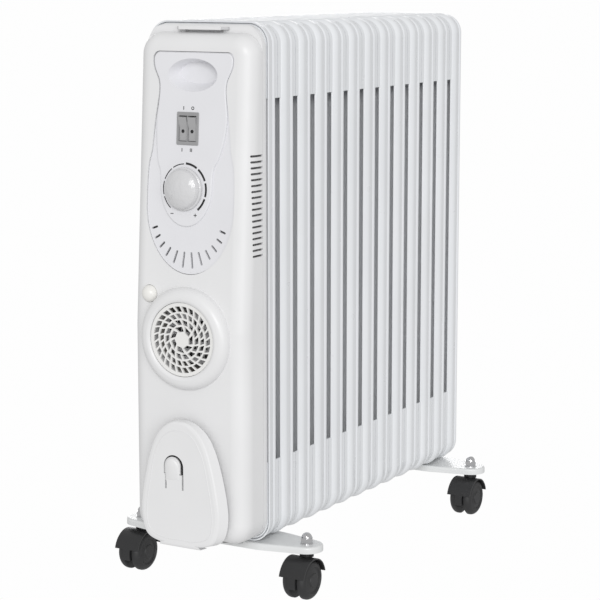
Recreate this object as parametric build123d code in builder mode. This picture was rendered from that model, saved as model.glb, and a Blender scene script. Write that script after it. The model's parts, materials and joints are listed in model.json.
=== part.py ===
from build123d import *
import math
import os

# Oil filled radiator heater on casters, in millimetres.
# +Z is up, the control panel faces -Y, and the origin is on the floor at the middle of the footprint.

# ---- Driving dimensions ----
FIN_COUNT = 13
FIN_PITCH = 38.0
FIN_WIDTH = 156.0
FIN_HEIGHT = 580.0
FIN_CORNER = 25.0
FIN_BOTTOM = 61.0           # height of the fins above the floor
FIN_PLATE = 1.6             # two pressed sheets seam-welded together
BAND_HALF = 13.0            # half width of a fin's rolled edge band
LINK_HALF = 18.4            # half width of the flange that closes the gaps at top and bottom
LINK_LOW = 93.0             # height of the closed stretch above the fins' bottom edge
LINK_HIGH = 83.0            # depth of the closed stretch below the fins' top edge

HEADER_RISE = 47.0          # oil headers' distance from the fins' bottom and top edges
HEADER_R = 17.0
HEADER_BORE_R = 14.0
CHANNEL_X = 42.0            # the outer two of the three oil channels
CHANNEL_WIDTH = 22.0
CHANNEL_HEIGHT = 4.7
CHANNEL_WALL = 1.0

PANEL_TO_GAP = 71.0         # from the lower front face back to the first gap between fins
PANEL_INSET = 3.5           # housing outline inside the fin outline
PANEL_WALL = 2.6
PANEL_TOP_STEP = 9.0        # the front panel's top lies this far under the rear shell's top
PANEL_EDGE_R = 18.0
PANEL_TILT = 3.5            # degrees that the upper face leans back
PANEL_FOLD_Z = 305.0        # height where the lean starts
COVER_DEPTH = 18.0          # how far the cord winder cover stands out
COVER_THICK = 11.5          # the cover itself, in front of the winding channel
COVER_TOP = 204.5
COVER_BOTTOM = 61.5
COVER_WALL = 2.4
COVER_NARROW = 0.895        # the cover's front is this much narrower than its rim
COVER_BEVEL = 2.0
CORE_INSET = 14.0           # depth of the winding channel behind the cover
CORE_NARROW = 0.74
CLIP_X = -7.0
CLIP_Z = 144.0
CLIP_WIDTH = 26.0
CLIP_HEIGHT = 22.0

BEZEL_TOP = 608.0
BEZEL_LOW = 366.0
BEZEL_U_Z = 440.0           # where the outline turns into its half-elliptic foot
BEZEL_U_HALF = 57.0
TONGUE_U_X = -5.5           # the tongue leans to the left with the knob
TONGUE_U_Z = 462.0
TONGUE_U_HALF = 33.5
TONGUE_LOW = 418.0
BEZEL_RECESS = 1.8          # the channel round the tongue lies this deep
BEZEL_RAISE = 0.6           # the tongue stands this proud
BEZEL_THICK = 3.0
GROOVE = 0.5                # reveal between the bezel and the front panel

GRIP_Z = 583.0
GRIP_HALF_X = 32.0
GRIP_HALF_Z = 18.0
GRIP_DEPTH = 15.0
SWITCH_X = -4.5
SWITCH_Z = 525.0
SWITCH_WIDTH = 28.5
SWITCH_HEIGHT = 36.0
SWITCH_PROUD = 1.6
ROCKER_X = 5.9              # to each side of the switch's middle
ROCKER_WIDTH = 10.2
ROCKER_REACH = 13.0
ROCKER_TILT = 9.0           # degrees each way from level
ROCKER_PIN_R = 1.0
SLOT_COUNT = 12
SLOT_X = -2.0
SLOT_CENTRE_Z = 430.0
SLOT_RING = 48.0
SLOT_SPREAD = 142.0
SLOT_WIDTH = 2.4
GRIP_LIFT = 3.0
KNOB_X = -7.0
KNOB_Z = 459.0
KNOB_R = 23.5
KNOB_HEIGHT = 14.0
KNOB_LIFT = 0.8
SHAFT_DEPTH = 14.0
SHAFT_R = 3.0

FAN_Z = 295.0
FAN_RING_R = 57.0
FAN_RING_HEIGHT = 12.0
FAN_RING_ROOT = 4.0         # how far the ring reaches back, through the leaning face
GRILLE_R = 41.0
GRILLE_SEAT = 7.0           # the grille's back face in front of the panel
GRILLE_RIB = 1.0            # half width of the ribs between holes
GRILLE_SKEW = 0.55
GRILLE_RINGS = ((31.0, 37.0, 26), (23.8, 29.2, 22), (16.4, 21.8, 14), (8.6, 14.2, 7))
SHROUD_R = 44.0
SHROUD_GAP = 1.1            # clear of the leaning wall beside the ring
IMPELLER_R = 36.0
BLADE_COUNT = 7
BLADE_PITCH = 40.0
FAN_SHAFT_R = 2.0
MOTOR_ARM_LENGTH = 29.6
MOTOR_ARM_MID = 26.9
BUTTON_X = -50.0
BUTTON_Z = 341.0
BUTTON_R = 9.5

WHEEL_R = 22.5
WHEEL_WIDTH = 10.5
WEB_WIDTH = 10.0            # the caster body's web between its two wheels
CASTER_X = 112.0
CASTER_TRAIL = 10.0         # the axle trails the swivel axis by this much
STEM_R = 4.0
AXLE_R = 3.0
RUNNING_FIT = 0.06          # radial clearance of a shaft in its bore
PLATE_SHEET = 2.0
PLATE_LIP = 7.5
PLATE_HALF_WIDTH = 29.0
PLATE_END_R = 18.5
U_BOLT_R = 2.5
U_BOLT_X = 20.0
U_BOLT_LOW = 47.0
PLATE_MID_X = 62.0
HOOD_OUTER = 24.9
HOOD_INNER = 23.3
HOOD_SIDE = 6.0             # the hood ends this far above the axle
NECK_R = 8.0
COLLAR_THICK = 2.4
STEM_LOW = 37.0
AXLE_HALF = 14.0
ELEMENT_X = 7.0
ELEMENT_R = 3.5
SIDE_VENT_COUNT = 18
SIDE_VENT_PITCH = 6.41
SIDE_VENT_LENGTH = 25.0
SIDE_VENT_HEIGHT = 2.4
SIDE_VENT_Z = 443.0         # middle of the row
HOOD_HALF_REAR = 33.0
HOOD_HALF_FRONT = 27.0
HOOD_REACH = 9.0
SHELL_ROUND = 7.0
SEAM_GAP = 0.4
GLAND_X = 34.0
GLAND_R = 6.0
SCREW_X = 52.0
SCREW_R = 2.0
END_CAP_REACH = 7.0         # how far the last fin's closed bosses stand behind its plate
FILLER_R = 5.0

# ---- Derived places ----
LENGTH = COVER_DEPTH + PANEL_TO_GAP + (FIN_COUNT - 2) * FIN_PITCH + FIN_PITCH / 2 + BAND_HALF
COVER_Y = -LENGTH / 2
FRONT_Y = COVER_Y + COVER_DEPTH
FIRST_GAP_Y = FRONT_Y + PANEL_TO_GAP
LAST_GAP_Y = FIRST_GAP_Y + (FIN_COUNT - 2) * FIN_PITCH
FIRST_FIN_Y = FIRST_GAP_Y - FIN_PITCH / 2
LAST_FIN_Y = FIRST_FIN_Y + (FIN_COUNT - 1) * FIN_PITCH
FIN_TOP = FIN_BOTTOM + FIN_HEIGHT
FIN_MID_Z = FIN_BOTTOM + FIN_HEIGHT / 2
FIN_HALF = FIN_WIDTH / 2
HEADER_Z = FIN_BOTTOM + HEADER_RISE
UPPER_HEADER_Z = FIN_TOP - HEADER_RISE
FIRST_BAND_FRONT = 4.0      # the first fin's band is cut short where the housing meets it
SHELL_REAR_Y = FIRST_FIN_Y - FIRST_BAND_FRONT - 0.3
SEAM_Y = SHELL_REAR_Y - 8.0
BACK_WALL = 2.0
BOSS_FRONT_Y = SHELL_REAR_Y - BACK_WALL - 1.5
PANEL_HALF = FIN_HALF - PANEL_INSET
PANEL_BOTTOM = FIN_BOTTOM + PANEL_INSET + 1.0
SHELL_TOP = FIN_TOP - PANEL_INSET
PANEL_TOP = SHELL_TOP - PANEL_TOP_STEP
PANEL_CORNER = FIN_CORNER - 1.0
PLATE_TOP = FIN_BOTTOM - 0.3
PLATE_BOTTOM = PLATE_TOP - PLATE_LIP
NECK_TOP = PLATE_TOP - PLATE_SHEET - COLLAR_THICK - 0.6
NECK_LOW = 46.0
ELEMENT_END_Y = FIRST_FIN_Y + 9 * FIN_PITCH
CORE_FRONT_Y = COVER_Y + COVER_THICK
CORE_REACH = COVER_DEPTH - COVER_WALL - 2.0
BEZEL_DEPTH = BEZEL_RECESS + BEZEL_THICK + BEZEL_RAISE
SHROUD_REAR_Y = SHELL_REAR_Y - BACK_WALL - 4.0
IMPELLER_Y = SHROUD_REAR_Y - 11.0
BUTTON_FACE_Y = FRONT_Y + (BUTTON_Z - PANEL_FOLD_Z) * math.tan(math.radians(PANEL_TILT))
SIDE_VENT_Y = FRONT_Y + 32.0
GLAND_Y = FRONT_Y + 26.0
SCREW_Y = FRONT_Y + 26.0

TILT = math.radians(PANEL_TILT)
FACE_PLANE = Plane(
    origin=(0, FRONT_Y, PANEL_FOLD_Z),
    x_dir=(1, 0, 0),
    z_dir=(0, -math.cos(TILT), math.sin(TILT)),
)


def on_face(z):
    """Distance up the leaning face for a height above the floor."""
    return (z - PANEL_FOLD_Z) / math.cos(TILT)


def front_plane(y):
    """A plane across the heater that looks to the front, with sketch Y as height."""
    return Plane(origin=(0, y, 0), x_dir=(1, 0, 0), z_dir=(0, -1, 0))


def save(name, shape):
    shape.label = name
    export_step(shape, f"parts/{name}.step")


os.makedirs("parts", exist_ok=True)


# ---- Fins ----
def fin_outline(plane_y):
    """The fin's outline as one closed wire that starts halfway up the right side."""
    r = FIN_CORNER
    with BuildLine(front_plane(plane_y)) as path:
        Line((FIN_HALF, FIN_MID_Z), (FIN_HALF, FIN_TOP - r))
        RadiusArc((FIN_HALF, FIN_TOP - r), (FIN_HALF - r, FIN_TOP), -r)
        Line((FIN_HALF - r, FIN_TOP), (-FIN_HALF + r, FIN_TOP))
        RadiusArc((-FIN_HALF + r, FIN_TOP), (-FIN_HALF, FIN_TOP - r), -r)
        Line((-FIN_HALF, FIN_TOP - r), (-FIN_HALF, FIN_BOTTOM + r))
        RadiusArc((-FIN_HALF, FIN_BOTTOM + r), (-FIN_HALF + r, FIN_BOTTOM), -r)
        Line((-FIN_HALF + r, FIN_BOTTOM), (FIN_HALF - r, FIN_BOTTOM))
        RadiusArc((FIN_HALF - r, FIN_BOTTOM), (FIN_HALF, FIN_BOTTOM + r), -r)
        Line((FIN_HALF, FIN_BOTTOM + r), (FIN_HALF, FIN_MID_Z))
    return path.wire()


def make_band(plane_y, first):
    """The rolled band: a crowned strip with a second small ridge, carried round the outline."""
    b = BAND_HALF
    section_plane = Plane(origin=(FIN_HALF, plane_y, FIN_MID_Z), x_dir=(0, 1, 0), z_dir=(0, 0, 1))
    with BuildPart() as band:
        with BuildSketch(section_plane):
            with BuildLine():
                ThreePointArc((-b, 4.4), (-9.5, 1.1), (-5.0, 0.0))
                ThreePointArc((-5.0, 0.0), (1.5, 0.9), (7.0, 2.6))
                ThreePointArc((7.0, 2.6), (10.4, 1.6), (b, 3.4))
                Line((b, 3.4), (b, 5.2))
                ThreePointArc((b, 5.2), (10.2, 3.3), (7.0, 4.3))
                ThreePointArc((7.0, 4.3), (1.5, 2.6), (-5.0, 1.7))
                ThreePointArc((-5.0, 1.7), (-9.2, 2.8), (-12.0, 5.6))
                Line((-12.0, 5.6), (-b, 4.4))
            make_face()
        sweep(path=fin_outline(plane_y))
        if first:
            split(bisect_by=front_plane(plane_y - FIRST_BAND_FRONT), keep=Keep.BOTTOM)
    return band.part


def make_link(plane_y, front_reach, rear_reach):
    """The flange under the band that reaches the next fins, left out along the open gap."""
    open_low = FIN_BOTTOM + LINK_LOW
    open_high = FIN_TOP - LINK_HIGH
    with BuildPart() as link:
        with BuildSketch(front_plane(plane_y - front_reach)):
            with Locations((0, FIN_MID_Z)):
                RectangleRounded(FIN_WIDTH - 6.4, FIN_HEIGHT - 6.4, FIN_CORNER - 3.2)
                RectangleRounded(FIN_WIDTH - 9.8, FIN_HEIGHT - 9.8, FIN_CORNER - 4.9, mode=Mode.SUBTRACT)
            with Locations((0, (open_low + open_high) / 2)):
                Rectangle(FIN_WIDTH + 2, open_high - open_low, mode=Mode.SUBTRACT)
        extrude(amount=-front_reach - rear_reach)
        # Notches that let the foot clamps pass
        with BuildSketch(Plane.XY.offset(FIN_BOTTOM)):
            for side in (-FIN_PITCH / 2, FIN_PITCH / 2):
                with Locations((-U_BOLT_X, plane_y + side), (U_BOLT_X, plane_y + side)):
                    Circle(U_BOLT_R + 1.2)
        extrude(amount=10, mode=Mode.SUBTRACT)
    return link.part


def make_fin(index):
    """One fin: plate, oil channels, header collars, crowned edge band and gap flanges."""
    y = FIRST_FIN_Y + index * FIN_PITCH
    first = index == 0
    last = index == FIN_COUNT - 1
    rib_reach = FIN_PLATE / 2 + CHANNEL_HEIGHT
    rib_length = UPPER_HEADER_Z - HEADER_Z + CHANNEL_WIDTH
    rear = y + (END_CAP_REACH if last else FIN_PITCH / 2)
    low_front = BOSS_FRONT_Y if first else y - FIN_PITCH / 2
    high_front = y if first else y - FIN_PITCH / 2
    low_bore_rear = y if last else rear
    high_bore_front = y if first else high_front
    high_bore_r = FILLER_R if last else HEADER_BORE_R
    with BuildPart() as fin:
        with BuildSketch(front_plane(y)):
            with Locations((0, FIN_MID_Z)):
                RectangleRounded(FIN_WIDTH - 5.0, FIN_HEIGHT - 5.0, FIN_CORNER - 2.5)
        extrude(amount=FIN_PLATE / 2, both=True)
        # Oil channels pressed into the sheets, flat towards the housing on the first fin
        with BuildSketch(front_plane(y + rib_reach)):
            with Locations((-CHANNEL_X, FIN_MID_Z), (0, FIN_MID_Z), (CHANNEL_X, FIN_MID_Z)):
                SlotOverall(rib_length, CHANNEL_WIDTH, rotation=90)
            with Locations((0, HEADER_Z), (0, UPPER_HEADER_Z)):
                SlotOverall(2 * CHANNEL_X + CHANNEL_WIDTH, CHANNEL_WIDTH)
        extrude(amount=rib_reach if first else 2 * rib_reach)
        with BuildSketch(front_plane(y + rib_reach - CHANNEL_WALL)):
            with Locations((-CHANNEL_X, FIN_MID_Z), (0, FIN_MID_Z), (CHANNEL_X, FIN_MID_Z)):
                SlotOverall(rib_length - 2 * CHANNEL_WALL, CHANNEL_WIDTH - 2 * CHANNEL_WALL, rotation=90)
        hollow = rib_reach - CHANNEL_WALL
        extrude(amount=hollow if first else 2 * hollow, mode=Mode.SUBTRACT)
        # Header collars that meet the next fins' halfway across the gaps
        with BuildSketch(front_plane(rear)):
            with Locations((0, HEADER_Z)):
                Circle(HEADER_R)
        extrude(amount=rear - low_front)
        with BuildSketch(front_plane(rear)):
            with Locations((0, UPPER_HEADER_Z)):
                Circle(HEADER_R)
        extrude(amount=rear - high_front)
        # Oil ways, closed at the far end of the lower header and at the near end of the upper one
        with BuildSketch(front_plane(low_bore_rear)):
            with Locations((0, HEADER_Z)):
                Circle(HEADER_BORE_R)
        extrude(amount=low_bore_rear - low_front, mode=Mode.SUBTRACT)
        with BuildSketch(front_plane(rear)):
            with Locations((0, UPPER_HEADER_Z)):
                Circle(high_bore_r)
        extrude(amount=rear - high_bore_front, mode=Mode.SUBTRACT)
        add(make_band(y, first))
        add(make_link(y, FIRST_BAND_FRONT if first else LINK_HALF, BAND_HALF if last else LINK_HALF))
    return fin.part


for fin_index in range(FIN_COUNT):
    save(f"fin_{fin_index + 1:02d}", make_fin(fin_index))


# ---- Housing ----
def housing_form(inset):
    """The front housing's outer form, or the same form set in by a wall's thickness."""
    half = PANEL_HALF - inset
    low = PANEL_BOTTOM + inset
    top = PANEL_TOP - inset
    corner = PANEL_CORNER - inset
    edge = PANEL_EDGE_R - inset
    face_low = FRONT_Y + inset
    face_top = face_low + (top + 1 - PANEL_FOLD_Z) * math.tan(TILT)
    with BuildPart() as form:
        with BuildSketch(front_plane(SEAM_Y)):
            with Locations((0, (low + top) / 2)):
                RectangleRounded(2 * half, top - low, corner)
        extrude(amount=SEAM_Y - FRONT_Y + 1)
        with BuildSketch(Plane.YZ) as side:
            with BuildLine():
                Polyline(
                    (SEAM_Y + 1, low - 1),
                    (face_low, low - 1),
                    (face_low, PANEL_FOLD_Z),
                    (face_top, top + 1),
                    (SEAM_Y + 1, top + 1),
                    close=True,
                )
            make_face()
        extrude(amount=half + 1, both=True, mode=Mode.INTERSECT)
        rim = [
            edge_line
            for edge_line in form.edges()
            if edge_line.bounding_box().max.Y < SEAM_Y - 1 and abs(edge_line.center().Z - PANEL_FOLD_Z) > 1
        ]
        fillet(rim, edge)
    return form.part


def bezel_face(grow=0.0):
    """The control bezel's outline on the leaning face: square shoulders, a waist and a deep U."""
    shoulder = on_face(BEZEL_TOP - 9)
    bend = on_face(BEZEL_U_Z)
    half = BEZEL_U_HALF + grow
    drop = bend - on_face(BEZEL_LOW) + grow
    with BuildSketch(FACE_PLANE) as outline:
        with BuildLine():
            Spline(
                (52.0 + grow, shoulder),
                (45.0 + grow, on_face(578)),
                (47.0 + grow, on_face(540)),
                (51.5 + grow, on_face(500)),
                (half, bend),
                tangents=((0, -1), (0, -1)),
            )
            Line((52.0 + grow, shoulder), (52.0 + grow, shoulder + 1 + grow))
            RadiusArc((52.0 + grow, shoulder + 1 + grow), (44.0 + grow, shoulder + 9 + grow), -8)
            Line((44.0 + grow, shoulder + 9 + grow), (0.0, shoulder + 9 + grow))
            mirror(about=Plane.YZ)
            EllipticalCenterArc((0, bend), half, drop, 180, arc_size=180)
        make_face()
    return outline.sketch


def tongue_face():
    """The raised tongue inside the bezel: it follows the outline down, then tapers round the knob."""
    shoulder = on_face(BEZEL_TOP - 9)
    bend = on_face(TONGUE_U_Z)
    drop = bend - on_face(TONGUE_LOW)
    left = TONGUE_U_X - TONGUE_U_HALF
    right = TONGUE_U_X + TONGUE_U_HALF
    with BuildSketch(FACE_PLANE) as outline:
        with BuildLine():
            Spline(
                (51.2, shoulder),
                (44.2, on_face(578)),
                (45.0, on_face(545)),
                (43.5, on_face(519)),
                (34.0, on_face(490)),
                (right, bend),
                tangents=((0, -1), (0, -1)),
            )
            Spline(
                (-51.2, shoulder),
                (-44.2, on_face(578)),
                (-45.0, on_face(545)),
                (-45.5, on_face(510)),
                (-42.5, on_face(485)),
                (left, bend),
                tangents=((0, -1), (0, -1)),
            )
            EllipticalCenterArc((TONGUE_U_X, bend), TONGUE_U_HALF, drop, 180, arc_size=180)
            Line((51.2, shoulder), (51.2, shoulder + 1))
            RadiusArc((51.2, shoulder + 1), (43.2, shoulder + 8.2), -8)
            Line((43.2, shoulder + 8.2), (-43.2, shoulder + 8.2))
            RadiusArc((-51.2, shoulder + 1), (-43.2, shoulder + 8.2), 8)
            Line((-51.2, shoulder), (-51.2, shoulder + 1))
        make_face()
    return outline.sketch


def face_plane_at(x, z, lift=0.0):
    """The leaning face's plane with its origin at a place on the face, lifted off it."""
    lifted = FACE_PLANE.offset(lift)
    return lifted.shift_origin(lifted.from_local_coords((x, on_face(z), 0)))


FAN_PLANE = Plane(origin=(0, FRONT_Y, FAN_Z), x_dir=(1, 0, 0), z_dir=(0, -1, 0))
BUTTON_PLANE = Plane(origin=(BUTTON_X, FRONT_Y, BUTTON_Z), x_dir=(1, 0, 0), z_dir=(0, -1, 0))
FLOOR_SIDE = Plane(origin=(0, 0, PANEL_BOTTOM), x_dir=(1, 0, 0), z_dir=(0, 0, -1))

# Half section of the ring bulge round the fan grille, turned about the fan's axis
with BuildPart() as fan_bulge:
    with BuildSketch(Plane(origin=(0, FRONT_Y, FAN_Z), x_dir=(1, 0, 0), z_dir=(0, 0, 1))):
        with BuildLine():
            Line((GRILLE_R - 1.5, FAN_RING_ROOT), (FAN_RING_R, FAN_RING_ROOT))
            Line((FAN_RING_R, FAN_RING_ROOT), (FAN_RING_R, 0.0))
            ThreePointArc((FAN_RING_R, 0.0), (54.0, -8.6), (47.0, -FAN_RING_HEIGHT))
            ThreePointArc((47.0, -FAN_RING_HEIGHT), (44.0, -12.1), (GRILLE_R + 0.6, -10.6))
            Line((GRILLE_R + 0.6, -10.6), (GRILLE_R + 0.6, -7.0))
            Line((GRILLE_R + 0.6, -7.0), (GRILLE_R - 1.5, -7.0))
            Line((GRILLE_R - 1.5, -7.0), (GRILLE_R - 1.5, FAN_RING_ROOT))
        make_face()
    revolve(axis=Axis((0, FRONT_Y, FAN_Z), (0, 1, 0)))

with BuildPart() as front_panel:
    add(housing_form(0))
    add(housing_form(PANEL_WALL), mode=Mode.SUBTRACT)
    add(fan_bulge.part)
    # Fan mouth
    with BuildSketch(FAN_PLANE.offset(-20)):
        Circle(GRILLE_R - 1.5)
    extrude(amount=20 + 6, mode=Mode.SUBTRACT)
    # Bezel opening
    extrude(bezel_face(GROOVE), amount=20, both=True, mode=Mode.SUBTRACT)
    # Fan button hole
    with BuildSketch(BUTTON_PLANE):
        Circle(BUTTON_R + 0.4)
    extrude(amount=12, both=True, mode=Mode.SUBTRACT)
    # Rows of cooling slots in both side walls
    with BuildSketch(Plane(origin=(0, SIDE_VENT_Y, SIDE_VENT_Z), x_dir=(0, 1, 0), z_dir=(1, 0, 0))):
        with GridLocations(1, SIDE_VENT_PITCH, 1, SIDE_VENT_COUNT):
            SlotOverall(SIDE_VENT_LENGTH, SIDE_VENT_HEIGHT)
    extrude(amount=PANEL_HALF + 5, both=True, mode=Mode.SUBTRACT)
    # Cord inlet and two screw holes in the underside
    with BuildSketch(FLOOR_SIDE.offset(-6)):
        with Locations((GLAND_X, -GLAND_Y)):
            Circle(GLAND_R)
        with Locations((-SCREW_X, -SCREW_Y), (SCREW_X, -SCREW_Y)):
            Circle(SCREW_R + 0.3)
    extrude(amount=12, mode=Mode.SUBTRACT)
save("front_panel", front_panel.part)

with BuildPart() as rear_shell:
    with BuildSketch(front_plane(SHELL_REAR_Y)):
        with Locations((0, (PANEL_BOTTOM + SHELL_TOP) / 2)):
            RectangleRounded(2 * PANEL_HALF, SHELL_TOP - PANEL_BOTTOM, PANEL_CORNER)
    extrude(amount=SHELL_REAR_Y - SEAM_Y - SEAM_GAP)
    # Rounded top front edge where the shell stands above the front panel
    with BuildSketch(Plane.YZ):
        with BuildLine():
            Line((SHELL_REAR_Y + 1, PANEL_BOTTOM - 1), (SEAM_Y + SEAM_GAP, PANEL_BOTTOM - 1))
            Line((SEAM_Y + SEAM_GAP, PANEL_BOTTOM - 1), (SEAM_Y + SEAM_GAP, SHELL_TOP - SHELL_ROUND))
            RadiusArc(
                (SEAM_Y + SEAM_GAP, SHELL_TOP - SHELL_ROUND),
                (SEAM_Y + SEAM_GAP + SHELL_ROUND, SHELL_TOP),
                SHELL_ROUND,
            )
            Line((SEAM_Y + SEAM_GAP + SHELL_ROUND, SHELL_TOP), (SHELL_REAR_Y + 1, SHELL_TOP))
            Line((SHELL_REAR_Y + 1, SHELL_TOP), (SHELL_REAR_Y + 1, PANEL_BOTTOM - 1))
        make_face()
    extrude(amount=PANEL_HALF + 1, both=True, mode=Mode.INTERSECT)
    # Hollow in front of the back wall, open to the front panel
    with BuildSketch(front_plane(SHELL_REAR_Y - BACK_WALL)):
        with Locations((0, (PANEL_BOTTOM + PANEL_TOP) / 2)):
            RectangleRounded(
                2 * (PANEL_HALF - PANEL_WALL),
                PANEL_TOP - PANEL_BOTTOM - 2 * PANEL_WALL,
                PANEL_CORNER - PANEL_WALL,
            )
    extrude(amount=20, mode=Mode.SUBTRACT)
    # Hot air slot under the hood
    with BuildSketch(front_plane(SEAM_Y + 4)):
        with Locations((0, PANEL_TOP + 1.8)):
            Rectangle(HOOD_HALF_FRONT * 2 - 4, 2.6)
    extrude(amount=10, mode=Mode.SUBTRACT)
    # Opening for the lower header's boss, and a row of screw holes into the first fin
    with BuildSketch(front_plane(SHELL_REAR_Y + 1)):
        with Locations((0, HEADER_Z)):
            Circle(HEADER_R + 1)
    extrude(amount=BACK_WALL + 2, mode=Mode.SUBTRACT)
save("rear_shell", rear_shell.part)

# Visor over the hot air slot: chamfered front corners and a shallow tray in its top
with BuildPart() as top_vent_hood:
    with BuildSketch(Plane.XY.offset(PANEL_TOP + 3.4)):
        Polygon(
            (-HOOD_HALF_REAR, SEAM_Y),
            (HOOD_HALF_REAR, SEAM_Y),
            (HOOD_HALF_REAR, SEAM_Y - 3),
            (HOOD_HALF_FRONT, SEAM_Y - HOOD_REACH),
            (-HOOD_HALF_FRONT, SEAM_Y - HOOD_REACH),
            (-HOOD_HALF_REAR, SEAM_Y - 3),
            align=None,
        )
    extrude(amount=3.0)
    with BuildSketch(Plane.XY.offset(PANEL_TOP + 4.8)):
        Polygon(
            (-HOOD_HALF_REAR + 2.4, SEAM_Y),
            (HOOD_HALF_REAR - 2.4, SEAM_Y),
            (HOOD_HALF_REAR - 2.4, SEAM_Y - 2.4),
            (HOOD_HALF_FRONT - 0.6, SEAM_Y - HOOD_REACH + 1.6),
            (-HOOD_HALF_FRONT + 0.6, SEAM_Y - HOOD_REACH + 1.6),
            (-HOOD_HALF_REAR + 2.4, SEAM_Y - 2.4),
            align=None,
        )
    extrude(amount=4.0, mode=Mode.SUBTRACT)
save("top_vent_hood", top_vent_hood.part)

# ---- Control bezel ----
GRIP_PLANE = face_plane_at(0, GRIP_Z)
SWITCH_PLANE = face_plane_at(SWITCH_X, SWITCH_Z)
KNOB_PLANE = face_plane_at(KNOB_X, KNOB_Z, BEZEL_RAISE)
FAN_SLOT_PLANE = face_plane_at(SLOT_X, SLOT_CENTRE_Z)

with BuildPart() as control_bezel:
    extrude(bezel_face(), amount=-BEZEL_RECESS - BEZEL_THICK)
    extrude(bezel_face(), amount=-BEZEL_RECESS, mode=Mode.SUBTRACT)
    # Raised tongue with a sloping edge
    extrude(tongue_face(), amount=-BEZEL_RECESS - 1)
    extrude(tongue_face(), amount=BEZEL_RAISE)
    tongue_top = control_bezel.faces().sort_by(Axis((0, 0, 0), FACE_PLANE.z_dir))[-1]
    fillet(tongue_top.edges(), 1.4)
    # Hollow grip: an oval mouth that narrows and lifts towards its floor, in a wall of its own
    with BuildSketch(GRIP_PLANE.offset(-BEZEL_RECESS)):
        Ellipse(GRIP_HALF_X + 2, GRIP_HALF_Z + 2)
    extrude(amount=BEZEL_RECESS - GRIP_DEPTH - 2)
    with BuildSketch(GRIP_PLANE.offset(BEZEL_RAISE + 0.1)):
        Ellipse(GRIP_HALF_X, GRIP_HALF_Z)
    with BuildSketch(GRIP_PLANE.offset(-GRIP_DEPTH)):
        with Locations((0, GRIP_LIFT)):
            Ellipse(GRIP_HALF_X - 6, GRIP_HALF_Z - 6)
    loft(mode=Mode.SUBTRACT)
    # Openings for the switch and the thermostat shaft
    with BuildSketch(SWITCH_PLANE.offset(-10)):
        Rectangle(SWITCH_WIDTH - 3, SWITCH_HEIGHT - 3)
        with Locations((KNOB_X - SWITCH_X, on_face(KNOB_Z) - on_face(SWITCH_Z))):
            Circle(SHAFT_R + 1)
    extrude(amount=20, mode=Mode.SUBTRACT)
    # Fan of vent slots along the foot of the U, longest in the middle
    for slot_index in range(SLOT_COUNT):
        swing = SLOT_SPREAD * (slot_index / (SLOT_COUNT - 1) - 0.5)
        slot_length = 8.5 + 10.0 * math.cos(math.radians(swing)) ** 6
        reach = SLOT_RING - 2.0 + 3.0 * math.cos(math.radians(swing))
        with BuildSketch(FAN_SLOT_PLANE.offset(-10)):
            with Locations((reach * math.sin(math.radians(swing)), -reach * math.cos(math.radians(swing)))):
                SlotOverall(slot_length, SLOT_WIDTH, rotation=swing - 90)
        extrude(amount=20, mode=Mode.SUBTRACT)
save("control_bezel", control_bezel.part)

# ---- Twin rocker switch ----
# Across the pin: sketch X runs up the face and sketch Y out of it
ROCKER_AXIS_PLANE = Plane(
    origin=SWITCH_PLANE.from_local_coords((0, 0, SWITCH_PROUD - 3.0)),
    x_dir=FACE_PLANE.y_dir,
    z_dir=(1, 0, 0),
)
ROCKER_REST = ROCKER_TILT   # turned so that the lower half lies level with the frame

with BuildPart() as switch_frame:
    with BuildSketch(SWITCH_PLANE.offset(-14)):
        Rectangle(SWITCH_WIDTH - 3.6, SWITCH_HEIGHT - 3.6)
    extrude(amount=14 + SWITCH_PROUD)
    with BuildSketch(SWITCH_PLANE.offset(BEZEL_RAISE)):
        RectangleRounded(SWITCH_WIDTH, SWITCH_HEIGHT, 1.5)
    extrude(amount=SWITCH_PROUD - BEZEL_RAISE)
    chamfer(switch_frame.faces().sort_by(Axis((0, 0, 0), FACE_PLANE.z_dir))[-1].outer_wire().edges(), 0.5)
    with BuildSketch(SWITCH_PLANE.offset(-11)):
        with Locations((-ROCKER_X, 0), (ROCKER_X, 0)):
            Rectangle(ROCKER_WIDTH + 0.6, 2 * ROCKER_REACH + 2.0)
    extrude(amount=20, mode=Mode.SUBTRACT)
    # Pin that both rockers turn on
    with BuildSketch(ROCKER_AXIS_PLANE):
        Circle(ROCKER_PIN_R)
    extrude(amount=SWITCH_WIDTH / 2 - 2.5, both=True)
save("switch_frame", switch_frame.part)


def make_rocker(centre_x):
    """A rocker with a hollow-backed V top, shown pressed in at its lower end."""
    tilt_top = math.tan(math.radians(ROCKER_TILT))
    reach = ROCKER_REACH
    turned_up = FACE_PLANE.y_dir.rotate(Axis.X, ROCKER_REST)
    side_plane = Plane(origin=ROCKER_AXIS_PLANE.offset(centre_x).origin, x_dir=turned_up, z_dir=(1, 0, 0))
    with BuildPart() as rocker:
        with BuildSketch(side_plane):
            with BuildLine():
                Polyline(
                    (-reach, 1.5 + reach * tilt_top),
                    (0, 1.5),
                    (reach, 1.5 + reach * tilt_top),
                    (reach, -4),
                    (6, -6.5),
                    (-6, -6.5),
                    (-reach, -4),
                    close=True,
                )
            make_face()
            Circle(ROCKER_PIN_R + RUNNING_FIT, mode=Mode.SUBTRACT)
        extrude(amount=ROCKER_WIDTH / 2, both=True)
    return rocker.part


save("rocker_left", make_rocker(-ROCKER_X))
save("rocker_right", make_rocker(ROCKER_X))


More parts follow.
